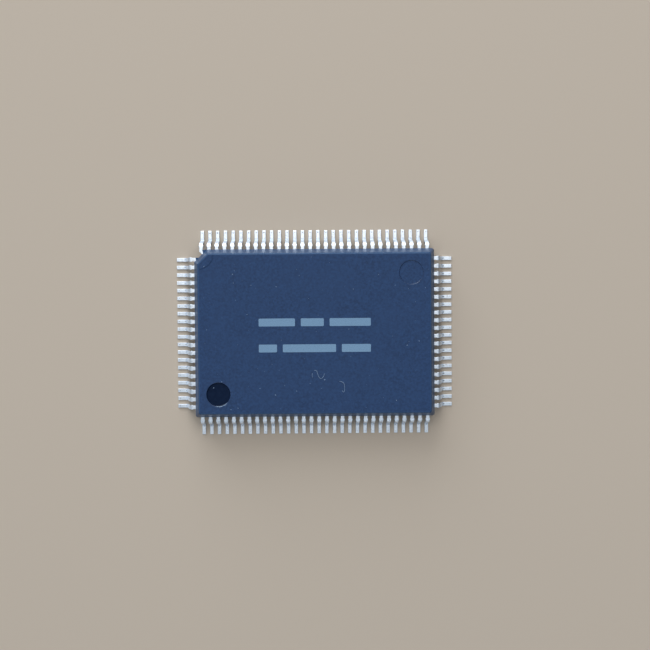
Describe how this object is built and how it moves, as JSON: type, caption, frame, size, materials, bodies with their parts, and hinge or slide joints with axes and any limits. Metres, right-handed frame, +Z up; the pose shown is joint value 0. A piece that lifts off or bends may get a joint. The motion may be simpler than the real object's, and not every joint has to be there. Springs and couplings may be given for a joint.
{
  "type": "integrated circuit",
  "caption": "Surface-mount integrated circuit: a flat oblong moulded resin body with formed solder leads along all four sides, an index dimple and a chamfered corner.",
  "frame": {"origin": "on the seating plane under the lead feet, below the middle of the body", "axes": "+X along the long sides, +Y along the short sides, +Z up through the body; the index dimple is at -X -Y and the chamfered corner at -X +Y"},
  "size_m": [0.0232, 0.0172, 0.0028],
  "materials": {
    "mould_resin": "fine matt moulded epoxy",
    "lead_plating": "matt tin plate over lead frame alloy",
    "lead_frame": "bare lead frame alloy",
    "die_adhesive": "silver-filled epoxy",
    "silicon": "polished silicon with circuit layers",
    "gold_wire": "drawn gold"
  },
  "bodies": {
    "root": {"package_body": "mould_resin", "leads_front": "lead_plating", "leads_right": "lead_plating", "leads_back": "lead_plating", "leads_left": "lead_plating", "die_pad": "lead_frame", "die_attach": "die_adhesive", "silicon_die": "silicon", "bond_wires_front": "gold_wire", "bond_wires_right": "gold_wire", "bond_wires_back": "gold_wire", "bond_wires_left": "gold_wire"}
  },
  "joints": []
}
